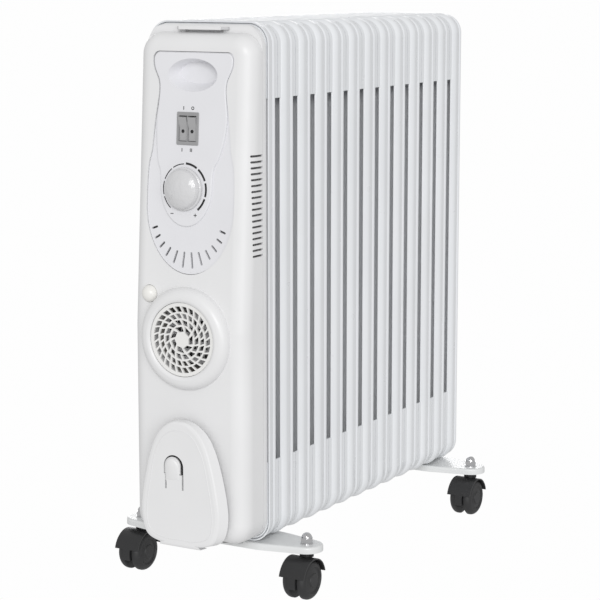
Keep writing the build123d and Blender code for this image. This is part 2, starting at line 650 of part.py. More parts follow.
# ---- Thermostat ----
KNOB_SECTION = Plane(
    origin=KNOB_PLANE.from_local_coords((0, 0, KNOB_LIFT)), x_dir=(1, 0, 0), z_dir=-FACE_PLANE.y_dir
)
with BuildPart() as thermostat_knob:
    with BuildSketch(KNOB_SECTION):
        with BuildLine():
            Line((0, 9.0), (0, KNOB_HEIGHT))
            ThreePointArc((0, KNOB_HEIGHT), (12.5, KNOB_HEIGHT - 1.9), (20.2, 8.2))
            ThreePointArc((20.2, 8.2), (21.4, 6.0), (22.0, 3.2))
            Line((22.0, 3.2), (KNOB_R, 2.2))
            Line((KNOB_R, 2.2), (KNOB_R, 0))
            Line((KNOB_R, 0), (20.0, 0))
            Line((20.0, 0), (20.0, 2.0))
            Line((20.0, 2.0), (6.0, 2.0))
            Line((6.0, 2.0), (6.0, 0))
            Line((6.0, 0), (SHAFT_R, 0))
            Line((SHAFT_R, 0), (SHAFT_R, 9.0))
            Line((SHAFT_R, 9.0), (0, 9.0))
        make_face()
    revolve(axis=Axis(KNOB_SECTION.origin, FACE_PLANE.z_dir))
save("thermostat_knob", thermostat_knob.part)

with BuildPart() as thermostat_shaft:
    with BuildSketch(KNOB_PLANE.offset(KNOB_LIFT + 9.0)):
        Circle(SHAFT_R)
    extrude(amount=-KNOB_LIFT - 9.0 - SHAFT_DEPTH)
save("thermostat_shaft", thermostat_shaft.part)

with BuildPart() as thermostat_body:
    with BuildSketch(KNOB_PLANE.offset(-BEZEL_DEPTH - 0.8)):
        RectangleRounded(32, 36, 2)
    extrude(amount=-16)
    with BuildSketch(KNOB_PLANE.offset(-BEZEL_DEPTH - 0.8)):
        Circle(SHAFT_R + RUNNING_FIT)
    extrude(amount=-16, mode=Mode.SUBTRACT)
    with BuildSketch(KNOB_PLANE.offset(-SHAFT_DEPTH - 1)):
        Circle(5)
    extrude(amount=-5)
save("thermostat_body", thermostat_body.part)

# ---- Fan heater ----
with BuildPart() as fan_grille:
    with BuildSketch(FAN_PLANE.offset(GRILLE_SEAT)):
        Circle(GRILLE_R)
    extrude(amount=2.4)
    for ring_in, ring_out, hole_count in GRILLE_RINGS:
        middle = (ring_in + ring_out) / 2
        half_step = math.pi * middle / hole_count
        half_width = half_step - GRILLE_RIB
        skew = GRILLE_SKEW * (ring_out - ring_in)
        with BuildSketch(FAN_PLANE.offset(GRILLE_SEAT - 1)):
            with PolarLocations(0, hole_count):
                Polygon(
                    (ring_in, -half_width * ring_in / middle - skew / 2),
                    (ring_out, -half_width * ring_out / middle + skew / 2),
                    (ring_out, half_width * ring_out / middle + skew / 2),
                    (ring_in, half_width * ring_in / middle - skew / 2),
                    align=None,
                )
        extrude(amount=5, mode=Mode.SUBTRACT)
save("fan_grille", fan_grille.part)

with BuildPart() as fan_shroud:
    with BuildSketch(front_plane(SHROUD_REAR_Y)):
        with Locations((0, FAN_Z)):
            Circle(SHROUD_R)
            Circle(SHROUD_R - 2, mode=Mode.SUBTRACT)
    extrude(amount=SHROUD_REAR_Y - FRONT_Y - FAN_RING_ROOT - SHROUD_GAP)
save("fan_shroud", fan_shroud.part)

# Ceramic heater: a frame with rows of thin corrugated strips
with BuildPart() as ptc_heater:
    with BuildSketch(front_plane(FRONT_Y + 12)):
        with Locations((0, FAN_Z)):
            Rectangle(56, 54)
            with GridLocations(0, 9, 1, 5):
                Rectangle(50, 5.4, mode=Mode.SUBTRACT)
    extrude(amount=8)
    with BuildSketch(front_plane(FRONT_Y + 11)):
        with Locations((0, FAN_Z)):
            with GridLocations(5, 0, 9, 1):
                Rectangle(0.9, 52)
    extrude(amount=6)
save("ptc_heater", ptc_heater.part)

with BuildPart() as fan_motor:
    with BuildSketch(front_plane(SHROUD_REAR_Y)):
        with Locations((0, FAN_Z)):
            Circle(13)
            with PolarLocations(MOTOR_ARM_MID, 3):
                Rectangle(MOTOR_ARM_LENGTH, 5)
    extrude(amount=3)
    with BuildSketch(front_plane(SHROUD_REAR_Y)):
        with Locations((0, FAN_Z)):
            Circle(13)
    extrude(amount=9)
    with BuildSketch(front_plane(SHROUD_REAR_Y - 3)):
        with Locations((0, FAN_Z)):
            Circle(FAN_SHAFT_R + RUNNING_FIT)
    extrude(amount=8, mode=Mode.SUBTRACT)
save("fan_motor", fan_motor.part)

with BuildPart() as fan_impeller:
    with BuildSketch(front_plane(IMPELLER_Y)):
        with Locations((0, FAN_Z)):
            Circle(9)
    extrude(amount=9)
    for blade_index in range(BLADE_COUNT):
        blade_turn = 360 / BLADE_COUNT * blade_index
        with BuildSketch(
            Plane(
                origin=(0, IMPELLER_Y - 4.5, FAN_Z),
                x_dir=(
                    math.cos(math.radians(blade_turn)) * math.sin(math.radians(BLADE_PITCH)),
                    -math.cos(math.radians(BLADE_PITCH)),
                    math.sin(math.radians(blade_turn)) * math.sin(math.radians(BLADE_PITCH)),
                ),
                z_dir=(-math.sin(math.radians(blade_turn)), 0, math.cos(math.radians(blade_turn))),
            )
        ):
            Rectangle(11, 1.6)
        extrude(amount=IMPELLER_R)
    with BuildSketch(front_plane(IMPELLER_Y)):
        with Locations((0, FAN_Z)):
            Circle(FAN_SHAFT_R)
    extrude(amount=-6)
save("fan_impeller", fan_impeller.part)

# Domed push button with a guide stem that slides in its switch
BUTTON_SECTION = Plane(origin=(BUTTON_X, BUTTON_FACE_Y, BUTTON_Z), x_dir=(1, 0, 0), z_dir=(0, 0, -1))
with BuildPart() as fan_button:
    with BuildSketch(BUTTON_SECTION):
        with BuildLine():
            Line((0, -16), (0, 7.5))
            ThreePointArc((0, 7.5), (6.4, 5.4), (BUTTON_R, 1.0))
            Line((BUTTON_R, 1.0), (BUTTON_R, -4))
            Line((BUTTON_R, -4), (2.5, -4))
            Line((2.5, -4), (2.5, -16))
            Line((2.5, -16), (0, -16))
        make_face()
    revolve(axis=Axis(BUTTON_SECTION.origin, (0, 1, 0)))
save("fan_button", fan_button.part)

with BuildPart() as fan_switch:
    with BuildSketch(front_plane(BUTTON_FACE_Y + 9)):
        with Locations((BUTTON_X, BUTTON_Z)):
            Rectangle(14, 20)
            Circle(2.5 + RUNNING_FIT, mode=Mode.SUBTRACT)
    extrude(amount=-14)
    with BuildSketch(front_plane(BUTTON_FACE_Y + 23)):
        with Locations((BUTTON_X, BUTTON_Z)):
            Rectangle(14, 20)
    extrude(amount=-3)
save("fan_switch", fan_switch.part)

# ---- Cord winder ----
def cover_outline(plane_y, narrow, trim=0.0):
    """Teardrop outline: a round arch that widens downwards to well rounded bottom corners."""
    top = COVER_TOP - trim
    low = COVER_BOTTOM + trim
    with BuildSketch(front_plane(plane_y)) as outline:
        with BuildLine():
            Spline(
                (3.0, top),
                (18.5 * narrow, top - 4.5),
                (31.0 * narrow, top - 14.5),
                (40.0 * narrow, top - 29),
                (49.0 * narrow, top - 55),
                (55.5 * narrow, top - 84),
                (57.5 * narrow, top - 106),
                (54.0 * narrow, low + 18.0),
                (43.0 * narrow, low + 6.3),
                (25.0 * narrow, low + 1.2),
                (8.0, low),
                tangents=((1, 0), (-1, 0)),
            )
            Line((8.0, low), (0, low))
            Line((0, top), (3.0, top))
            mirror(about=Plane.YZ)
        make_face()
    return outline.sketch


with BuildPart() as cord_winder_cover:
    crest = cover_outline(COVER_Y + COVER_BEVEL, COVER_NARROW)
    loft([cover_outline(CORE_FRONT_Y, 1.0).face(), crest.face()])
    loft([crest.face(), cover_outline(COVER_Y + 0.6, COVER_NARROW - 0.022, 0.9).face()])
    loft([
        cover_outline(COVER_Y + 0.6, COVER_NARROW - 0.022, 0.9).face(),
        cover_outline(COVER_Y, COVER_NARROW - 0.07, 3.0).face(),
    ])
    inside = cover_outline(CORE_FRONT_Y, COVER_NARROW, 2.8)
    extrude(inside, amount=COVER_THICK - COVER_WALL, mode=Mode.SUBTRACT)
    # Window of the plug clip and the two slits under it
    with BuildSketch(front_plane(CORE_FRONT_Y)):
        with Locations((CLIP_X, CLIP_Z)):
            SlotOverall(2 * CLIP_HEIGHT, CLIP_WIDTH, rotation=90)
        with Locations((CLIP_X, CLIP_Z - CLIP_HEIGHT)):
            Rectangle(CLIP_WIDTH + 2, 2 * CLIP_HEIGHT, mode=Mode.SUBTRACT)
        slit = CLIP_WIDTH / 2 - 1
        with Locations((CLIP_X - slit + 1.5, CLIP_Z - 7), (CLIP_X + slit, CLIP_Z - 7)):
            Rectangle(2.0, 20)
    extrude(amount=COVER_THICK + 1, mode=Mode.SUBTRACT)
save("cord_winder_cover", cord_winder_cover.part)

with BuildPart() as plug_clip:
    with BuildSketch(front_plane(COVER_Y + COVER_WALL)):
        with Locations((CLIP_X - 1.8, CLIP_Z + 0.2)):
            SlotOverall(2 * CLIP_HEIGHT - 5, CLIP_WIDTH - 5.6, rotation=90)
        with Locations((CLIP_X, CLIP_Z - CLIP_HEIGHT)):
            Rectangle(CLIP_WIDTH + 2, 2 * CLIP_HEIGHT + 2, mode=Mode.SUBTRACT)
    extrude(amount=COVER_WALL)
    fillet(plug_clip.faces().sort_by(Axis.Y)[0].edges(), 0.8)
    with BuildSketch(front_plane(COVER_Y + COVER_WALL)):
        with Locations((CLIP_X - 1.8, CLIP_Z - 2)):
            Rectangle(CLIP_WIDTH - 7, 16)
    extrude(amount=-2)
save("plug_clip", plug_clip.part)

with BuildPart() as cord_winder_core:
    extrude(cover_outline(FRONT_Y, CORE_NARROW, CORE_INSET), amount=CORE_REACH)
    inside = cover_outline(FRONT_Y, CORE_NARROW - 0.07, CORE_INSET + 3)
    extrude(inside, amount=CORE_REACH - 3, mode=Mode.SUBTRACT)
save("cord_winder_core", cord_winder_core.part)

# ---- Inside the housing ----
with BuildPart() as heating_element:
    with BuildSketch(front_plane(BOSS_FRONT_Y)):
        with Locations((0, HEADER_Z)):
            Circle(HEADER_R + 1)
    extrude(amount=4)
    with BuildSketch(front_plane(BOSS_FRONT_Y - 3)):
        with Locations((-ELEMENT_X, HEADER_Z), (ELEMENT_X, HEADER_Z)):
            Circle(2.2)
    extrude(amount=12)
    with BuildLine() as element_path:
        Line((-ELEMENT_X, BOSS_FRONT_Y - 1, HEADER_Z), (-ELEMENT_X, ELEMENT_END_Y, HEADER_Z))
        ThreePointArc(
            (-ELEMENT_X, ELEMENT_END_Y, HEADER_Z),
            (0, ELEMENT_END_Y + ELEMENT_X, HEADER_Z),
            (ELEMENT_X, ELEMENT_END_Y, HEADER_Z),
        )
        Line((ELEMENT_X, ELEMENT_END_Y, HEADER_Z), (ELEMENT_X, BOSS_FRONT_Y - 1, HEADER_Z))
    with BuildSketch(Plane(origin=(-ELEMENT_X, BOSS_FRONT_Y - 1, HEADER_Z), z_dir=(0, 1, 0))):
        Circle(ELEMENT_R)
    sweep(path=element_path.wire())
save("heating_element", heating_element.part)

with BuildPart() as terminal_block:
    with BuildSketch(front_plane(SHELL_REAR_Y - BACK_WALL)):
        with Locations((34, 205)):
            Rectangle(30, 44)
    extrude(amount=12)
    with BuildSketch(front_plane(SHELL_REAR_Y - BACK_WALL - 6)):
        with Locations((34, 205)):
            with GridLocations(12, 10, 2, 4):
                Circle(2.4)
    extrude(amount=8, mode=Mode.SUBTRACT)
save("terminal_block", terminal_block.part)

with BuildPart() as thermal_cutout:
    with BuildSketch(front_plane(SHELL_REAR_Y - BACK_WALL)):
        with Locations((-34, 190)):
            Circle(8)
    extrude(amount=7)
    with BuildSketch(front_plane(SHELL_REAR_Y - BACK_WALL)):
        with Locations((-34, 190)):
            SlotOverall(30, 12)
    extrude(amount=1.5)
save("thermal_cutout", thermal_cutout.part)

with BuildPart() as tip_over_switch:
    with BuildSketch(front_plane(SHELL_REAR_Y - BACK_WALL)):
        with Locations((-46, 108)):
            RectangleRounded(26, 34, 2)
    extrude(amount=16)
save("tip_over_switch", tip_over_switch.part)

with BuildPart() as cable_gland:
    with BuildSketch(FLOOR_SIDE):
        with Locations((GLAND_X, -GLAND_Y)):
            Circle(GLAND_R + 2)
    extrude(amount=2)
    with BuildSketch(FLOOR_SIDE):
        with Locations((GLAND_X, -GLAND_Y)):
            Circle(GLAND_R)
    extrude(amount=-8)
    with BuildSketch(FLOOR_SIDE.offset(3)):
        with Locations((GLAND_X, -GLAND_Y)):
            Circle(GLAND_R - 2.4)
    extrude(amount=-14, mode=Mode.SUBTRACT)
save("cable_gland", cable_gland.part)

with BuildPart() as panel_screws:
    with BuildSketch(FLOOR_SIDE):
        with Locations((-SCREW_X, -SCREW_Y), (SCREW_X, -SCREW_Y)):
            Circle(3.6)
    extrude(amount=2)
    fillet(panel_screws.faces().sort_by(Axis.Z)[0:2].edges(), 1.0)
    with BuildSketch(FLOOR_SIDE):
        with Locations((-SCREW_X, -SCREW_Y), (SCREW_X, -SCREW_Y)):
            Circle(SCREW_R)
    extrude(amount=-12)
    with BuildSketch(FLOOR_SIDE.offset(2)):
        with Locations((-SCREW_X, -SCREW_Y), (SCREW_X, -SCREW_Y)):
            Rectangle(3.6, 0.8)
            Rectangle(0.8, 3.6)
    extrude(amount=-1.0, mode=Mode.SUBTRACT)
save("panel_screws", panel_screws.part)

with BuildPart() as oil_filler_plug:
    with BuildSketch(front_plane(LAST_FIN_Y + END_CAP_REACH)):
        with Locations((0, UPPER_HEADER_Z)):
            RegularPolygon(7, 6)
    extrude(amount=-4)
    with BuildSketch(front_plane(LAST_FIN_Y + END_CAP_REACH)):
        with Locations((0, UPPER_HEADER_Z)):
            Circle(FILLER_R)
    extrude(amount=10)
save("oil_filler_plug", oil_filler_plug.part)


# ---- Foot plates and their fixings ----
def make_foot_plate(gap_y):
    """A pressed plate with rounded ends, a turned-down rim and holes for stems and clamps."""
    def outline(plane, inset):
        with BuildSketch(plane) as shape:
            with Locations((-CASTER_X, gap_y), (CASTER_X, gap_y)):
                Circle(PLATE_END_R - inset)
            with Locations((-PLATE_MID_X, gap_y), (PLATE_MID_X, gap_y)):
                Circle(PLATE_HALF_WIDTH - inset)
            make_hull()
        return shape.sketch

    with BuildPart() as plate:
        extrude(outline(Plane.XY.offset(PLATE_BOTTOM), 0), amount=PLATE_LIP)
        fillet(plate.faces().sort_by(Axis.Z)[-1].edges(), 2.6)
        extrude(
            outline(Plane.XY.offset(PLATE_BOTTOM), PLATE_SHEET),
            amount=PLATE_LIP - PLATE_SHEET,
            mode=Mode.SUBTRACT,
        )
        with BuildSketch(Plane.XY.offset(PLATE_BOTTOM)):
            with Locations((-CASTER_X, gap_y), (CASTER_X, gap_y)):
                Circle(STEM_R + 0.2)
            with Locations((-U_BOLT_X, gap_y), (U_BOLT_X, gap_y)):
                Circle(U_BOLT_R + 0.5)
        extrude(amount=PLATE_LIP + 1, mode=Mode.SUBTRACT)
    return plate.part


save("foot_plate_front", make_foot_plate(FIRST_GAP_Y))
save("foot_plate_rear", make_foot_plate(LAST_GAP_Y))

FOOT_GAPS = (FIRST_GAP_Y, LAST_GAP_Y)
CASTER_SPOTS = [(x, y) for y in FOOT_GAPS for x in (-CASTER_X, CASTER_X)]
CLAMP_SPOTS = [(x, y) for y in FOOT_GAPS for x in (-U_BOLT_X, U_BOLT_X)]
PLATE_UNDER = PLATE_TOP - PLATE_SHEET

with BuildPart() as foot_u_bolts:
    for gap_y in FOOT_GAPS:
        with BuildLine() as bolt_path:
            Line((-U_BOLT_X, gap_y, U_BOLT_LOW), (-U_BOLT_X, gap_y, HEADER_Z))
            ThreePointArc(
                (-U_BOLT_X, gap_y, HEADER_Z), (0, gap_y, HEADER_Z + U_BOLT_X), (U_BOLT_X, gap_y, HEADER_Z)
            )
            Line((U_BOLT_X, gap_y, HEADER_Z), (U_BOLT_X, gap_y, U_BOLT_LOW))
        with BuildSketch(Plane.XY.offset(U_BOLT_LOW)):
            with Locations((-U_BOLT_X, gap_y)):
                Circle(U_BOLT_R)
        sweep(path=bolt_path.wire())
save("foot_u_bolts", foot_u_bolts.part)

with BuildPart() as wing_nuts:
    with BuildSketch(Plane.XY.offset(PLATE_UNDER)):
        with Locations(*CLAMP_SPOTS):
            Circle(5)
            Circle(U_BOLT_R, mode=Mode.SUBTRACT)
    extrude(amount=-5)
    with BuildSketch(Plane.XY.offset(PLATE_UNDER - 2)):
        for clamp_x, clamp_y in CLAMP_SPOTS:
            with Locations((clamp_x, clamp_y - 7), (clamp_x, clamp_y + 7)):
                SlotOverall(7, 2.4, rotation=90)
    extrude(amount=-6)
save("wing_nuts", wing_nuts.part)

with BuildPart() as caster_stems:
    with BuildSketch(Plane.XY.offset(STEM_LOW)):
        with Locations(*CASTER_SPOTS):
            Circle(STEM_R)
    extrude(amount=PLATE_TOP + 9 - STEM_LOW)
    with BuildSketch(Plane.XY.offset(PLATE_UNDER)):
        with Locations(*CASTER_SPOTS):
            Circle(7)
    extrude(amount=-COLLAR_THICK)
save("caster_stems", caster_stems.part)

with BuildPart() as caster_cap_nuts:
    with BuildSketch(Plane.XY.offset(PLATE_TOP)):
        with Locations(*CASTER_SPOTS):
            Circle(7.5)
    extrude(amount=1.2)
    with BuildSketch(Plane.XY.offset(PLATE_TOP + 1.2)):
        with Locations(*CASTER_SPOTS):
            RegularPolygon(6.5, 6, major_radius=False)
    extrude(amount=5.5)
    for spot_x, spot_y in CASTER_SPOTS:
        with Locations((spot_x, spot_y, PLATE_TOP + 6.7)):
            Sphere(6.0)
    with BuildSketch(Plane.XY.offset(PLATE_TOP)):
        with Locations(*CASTER_SPOTS):
            Circle(STEM_R)
    extrude(amount=9, mode=Mode.SUBTRACT)
save("caster_cap_nuts", caster_cap_nuts.part)


# ---- Casters ----
def make_caster_fork(stem_x, stem_y):
    """The caster's body: a web between the wheels, a hood over their treads and a stem socket."""
    axle_y = stem_y - CASTER_TRAIL
    with BuildPart() as fork:
        # Web, seen from the side
        with BuildSketch(Plane(origin=(stem_x, axle_y, WHEEL_R), x_dir=(0, 1, 0), z_dir=(1, 0, 0))):
            Circle(HOOD_OUTER)
            with Locations((0, -HOOD_OUTER)):
                Rectangle(2 * HOOD_OUTER, 2 * HOOD_OUTER - 14, mode=Mode.SUBTRACT)
            Circle(9)
            Rectangle(26, 12, align=(Align.CENTER, Align.MIN))
        extrude(amount=WEB_WIDTH / 2, both=True)
        # Hood over both treads
        with BuildSketch(Plane(origin=(stem_x, axle_y, WHEEL_R), x_dir=(0, 1, 0), z_dir=(1, 0, 0))):
            Circle(HOOD_OUTER)
            Circle(HOOD_INNER, mode=Mode.SUBTRACT)
            with Locations((0, -HOOD_OUTER)):
                Rectangle(2 * HOOD_OUTER, 2 * HOOD_OUTER + 2 * HOOD_SIDE, mode=Mode.SUBTRACT)
        extrude(amount=WEB_WIDTH / 2 + WHEEL_WIDTH + 0.6, both=True)
        # Stem socket
        with BuildSketch(Plane.XY.offset(NECK_LOW)):
            with Locations((stem_x, stem_y)):
                Circle(NECK_R)
        extrude(amount=NECK_TOP - NECK_LOW)
        with BuildSketch(Plane.XY.offset(STEM_LOW - 1)):
            with Locations((stem_x, stem_y)):
                Circle(STEM_R + RUNNING_FIT)
        extrude(amount=NECK_TOP - STEM_LOW + 2, mode=Mode.SUBTRACT)
        with BuildSketch(Plane(origin=(stem_x, axle_y, WHEEL_R), x_dir=(0, 1, 0), z_dir=(1, 0, 0))):
            Circle(AXLE_R + RUNNING_FIT)
        extrude(amount=WEB_WIDTH, both=True, mode=Mode.SUBTRACT)
    return fork.part


def make_caster_wheels(stem_x, stem_y):
    """Two wheels of one caster, closed and rounded on their outer faces."""
    axle_y = stem_y - CASTER_TRAIL
    inner = WEB_WIDTH / 2 + 0.5
    outer = inner + WHEEL_WIDTH
    with BuildPart() as wheels:
        with BuildSketch(Plane(origin=(stem_x, axle_y, WHEEL_R), x_dir=(1, 0, 0), z_dir=(0, -1, 0))):
            with BuildLine():
                Line((inner, 0), (inner, WHEEL_R - 0.8))
                Line((inner, WHEEL_R - 0.8), (inner + 0.8, WHEEL_R))
                Line((inner + 0.8, WHEEL_R), (outer - 7, WHEEL_R))
                ThreePointArc((outer - 7, WHEEL_R), (outer - 2.6, WHEEL_R - 2.4), (outer - 0.9, WHEEL_R - 7))
                Line((outer - 0.9, WHEEL_R - 7), (outer - 2.2, WHEEL_R - 8.4))
                Line((outer - 2.2, WHEEL_R - 8.4), (outer - 1.2, 8.5))
                Line((outer - 1.2, 8.5), (outer, 7.5))
                Line((outer, 7.5), (outer, 0))
                Line((outer, 0), (inner, 0))
            make_face()
        revolve(axis=Axis((stem_x, axle_y, WHEEL_R), (1, 0, 0)))
        mirror(about=Plane(origin=(stem_x, axle_y, WHEEL_R), z_dir=(1, 0, 0)))
        with BuildSketch(Plane(origin=(stem_x, axle_y, WHEEL_R), x_dir=(0, 1, 0), z_dir=(1, 0, 0))):
            Circle(AXLE_R)
        extrude(amount=AXLE_HALF, both=True, mode=Mode.SUBTRACT)
    return wheels.part


def make_caster_axle(stem_x, stem_y):
    """The axle: pressed into both wheels, it turns in the web."""
    with BuildPart() as axle:
        with BuildSketch(
            Plane(origin=(stem_x, stem_y - CASTER_TRAIL, WHEEL_R), x_dir=(0, 1, 0), z_dir=(1, 0, 0))
        ):
            Circle(AXLE_R)
        extrude(amount=AXLE_HALF, both=True)
    return axle.part


CASTER_NAMES = ("front_left", "front_right", "rear_left", "rear_right")
for caster_name, (caster_x, caster_y) in zip(CASTER_NAMES, CASTER_SPOTS):
    save(f"caster_body_{caster_name}", make_caster_fork(caster_x, caster_y))
    save(f"caster_wheels_{caster_name}", make_caster_wheels(caster_x, caster_y))
    save(f"caster_axle_{caster_name}", make_caster_axle(caster_x, caster_y))
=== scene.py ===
"""Looks of the oil filled radiator heater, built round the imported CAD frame. Metres, +Z up."""
import json
import math

import bmesh
import bpy
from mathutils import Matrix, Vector


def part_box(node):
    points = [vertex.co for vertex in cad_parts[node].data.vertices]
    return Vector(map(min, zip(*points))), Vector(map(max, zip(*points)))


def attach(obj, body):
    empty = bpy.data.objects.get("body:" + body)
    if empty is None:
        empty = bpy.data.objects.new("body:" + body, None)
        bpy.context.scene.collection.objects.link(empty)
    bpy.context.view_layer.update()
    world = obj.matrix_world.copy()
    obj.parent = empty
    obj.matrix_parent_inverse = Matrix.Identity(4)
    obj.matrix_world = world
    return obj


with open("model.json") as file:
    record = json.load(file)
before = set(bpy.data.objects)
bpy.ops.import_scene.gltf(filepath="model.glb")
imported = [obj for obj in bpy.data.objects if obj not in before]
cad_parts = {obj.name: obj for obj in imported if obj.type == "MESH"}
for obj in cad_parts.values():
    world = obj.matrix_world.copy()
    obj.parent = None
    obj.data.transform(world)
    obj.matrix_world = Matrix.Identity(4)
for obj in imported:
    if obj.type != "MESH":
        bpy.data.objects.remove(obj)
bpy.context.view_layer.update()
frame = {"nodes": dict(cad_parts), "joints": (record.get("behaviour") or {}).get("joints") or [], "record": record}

MM = 0.001
JOINTS = {joint["name"]: joint for joint in frame["joints"]}
SLOTS = {part["node"]: part["material_slot"] for part in frame["record"]["subparts"]}


# ---- Materials ----
EVEN = (1.0, 1.0, 1.0)      # noise that isn't stretched along any axis
STREAKS = 500.0             # gloss streaks of plated metal, per metre


def shade(name, color, rough, metallic=0.0, coat=0.0):
    """A Principled material with its plain values on the shader's own sockets."""
    material = bpy.data.materials.new(name)
    material.use_nodes = True
    shader = material.node_tree.nodes["Principled BSDF"]
    shader.inputs["Base Color"].default_value = (*color, 1.0)
    shader.inputs["Roughness"].default_value = rough
    shader.inputs["Metallic"].default_value = metallic
    shader.inputs["Coat Weight"].default_value = coat
    shader.inputs["Coat Roughness"].default_value = 0.12
    return material, shader


def noise(tree, scale, detail=2.0, stretch=EVEN):
    """Noise over the object's own coordinates, in features per metre, stretched along an axis."""
    place = tree.nodes.new("ShaderNodeTexCoord")
    mapping = tree.nodes.new("ShaderNodeMapping")
    mapping.inputs["Scale"].default_value = stretch
    texture = tree.nodes.new("ShaderNodeTexNoise")
    texture.inputs["Scale"].default_value = scale
    texture.inputs["Detail"].default_value = detail
    tree.links.new(place.outputs["Object"], mapping.inputs["Vector"])
    tree.links.new(mapping.outputs["Vector"], texture.inputs["Vector"])
    return texture.outputs["Fac"]


def vary_color(material, shader, color, spread, scale):
    """Slow tonal drift of the base colour."""
    tree = material.node_tree
    ramp = tree.nodes.new("ShaderNodeValToRGB")
    low = [max(0.0, c * (1 - spread)) for c in color]
    high = [min(1.0, c * (1 + spread)) for c in color]
    ramp.color_ramp.elements[0].position = 0.32
    ramp.color_ramp.elements[1].position = 0.68
    ramp.color_ramp.elements[0].color = (*low, 1.0)
    ramp.color_ramp.elements[1].color = (*high, 1.0)
    tree.links.new(noise(tree, scale), ramp.inputs["Fac"])
    tree.links.new(ramp.outputs["Color"], shader.inputs["Base Color"])


def vary_rough(material, shader, low, high, scale, stretch=EVEN):
    """Uneven gloss between two roughness values."""
    tree = material.node_tree
    spread = tree.nodes.new("ShaderNodeMapRange")
    spread.inputs["From Min"].default_value = 0.3
    spread.inputs["From Max"].default_value = 0.7
    spread.inputs["To Min"].default_value = low
    spread.inputs["To Max"].default_value = high
    tree.links.new(noise(tree, scale, 3.0, stretch), spread.inputs["Value"])
    tree.links.new(spread.outputs["Result"], shader.inputs["Roughness"])


def add_bump(material, shader, scale, height, strength, stretch=EVEN):
    """Fine relief: grain, orange peel or brush lines."""
    tree = material.node_tree
    bump = tree.nodes.new("ShaderNodeBump")
    bump.inputs["Strength"].default_value = strength
    bump.inputs["Distance"].default_value = height
    tree.links.new(noise(tree, scale, stretch=stretch), bump.inputs["Height"])
    tree.links.new(bump.outputs["Normal"], shader.inputs["Normal"])


def enamel(name, color):
    """Stoved enamel on pressed steel: glossy with a faint orange peel."""
    material, shader = shade(name, color, 0.3, coat=0.25)
    vary_color(material, shader, color, 0.02, 9.0)
    vary_rough(material, shader, 0.27, 0.36, 40.0)
    add_bump(material, shader, 420.0, 0.00025, 0.25)
    return material


def moulded(name, color, rough, grain=1400.0, height=0.00006):
    """Injection moulded plastic with a fine spark-eroded grain."""
    material, shader = shade(name, color, rough)
    vary_color(material, shader, color, 0.015, 14.0)
    vary_rough(material, shader, rough - 0.05, rough + 0.06, 60.0)
    add_bump(material, shader, grain, height, 0.35)
    return material


def metal(name, color, rough, stretch=EVEN):
    """Plated or brushed metal with streaks in its gloss."""
    material, shader = shade(name, color, rough, metallic=1.0)
    vary_rough(material, shader, rough * 0.7, rough * 1.5, STREAKS, stretch)
    add_bump(material, shader, STREAKS, 0.00003, 0.25, stretch)
    return material


MATERIALS = {
    "fin_enamel": enamel("fin_enamel", (0.79, 0.805, 0.825)),
    "foot_enamel": enamel("foot_enamel", (0.76, 0.77, 0.77)),
    "panel_white": moulded("panel_white", (0.80, 0.80, 0.805), 0.34),
    "bezel_white": moulded("bezel_white", (0.79, 0.79, 0.815), 0.34),
    "grille_white": moulded("grille_white", (0.84, 0.835, 0.82), 0.38),
    # hood_grey: the visor's grey is painted shade, standing for the shade inside its shallow top pocket
    "hood_grey": moulded("hood_grey", (0.55, 0.55, 0.56), 0.5),
    "knob_white": moulded("knob_white", (0.66, 0.66, 0.67), 0.2, 150.0, 0.003),
    "switch_grey": moulded("switch_grey", (0.33, 0.33, 0.335), 0.45),
    "rocker_grey": moulded("rocker_grey", (0.40, 0.40, 0.405), 0.3),
    "button_white": moulded("button_white", (0.84, 0.83, 0.80), 0.24, 900.0, 0.00003),
    "wheel_black": moulded("wheel_black", (0.022, 0.022, 0.023), 0.5, 1100.0, 0.0001),
    "caster_black": moulded("caster_black", (0.02, 0.02, 0.021), 0.42, 1300.0, 0.00008),
    "nut_chrome": metal("nut_chrome", (0.62, 0.62, 0.63), 0.14),
    "steel_zinc": metal("steel_zinc", (0.56, 0.57, 0.58), 0.3, (1.0, 1.0, 0.2)),
    "element_steel": metal("element_steel", (0.42, 0.41, 0.40), 0.35, (1.0, 0.1, 1.0)),
    "inner_black": moulded("inner_black", (0.025, 0.025, 0.025), 0.6),
    "inner_white": moulded("inner_white", (0.62, 0.60, 0.55), 0.55),
    "motor_metal": metal("motor_metal", (0.5, 0.5, 0.51), 0.35),
    "heater_ceramic": metal("heater_ceramic", (0.55, 0.55, 0.56), 0.4),
    "plug_brass": metal("plug_brass", (0.66, 0.5, 0.26), 0.28),
    "gland_black": moulded("gland_black", (0.02, 0.02, 0.02), 0.6),
}
INK = moulded("print_black", (0.012, 0.012, 0.013), 0.42)


def paint_parts():
    """Gives each CAD part the material of its slot."""
    for node, piece in frame["nodes"].items():
        if not piece.material_slots:
            piece.data.materials.append(None)
        for place in piece.material_slots:
            place.material = MATERIALS[SLOTS[node]]


paint_parts()


# ---- Places on the leaning control face ----
DIAL = JOINTS["thermostat_turn"]
FACE_OUT = Vector(DIAL["axis"]).normalized()
FACE_UP = Vector((0.0, FACE_OUT.z, -FACE_OUT.y))
FACE_RIGHT = Vector((1.0, 0.0, 0.0))
DIAL_CENTRE = Vector(DIAL["pos_m"])


def on_face(x, up, out=0.0, centre=DIAL_CENTRE):
    """A point on the leaning face, from a centre on it."""
    return centre + FACE_RIGHT * x + FACE_UP * up + FACE_OUT * out


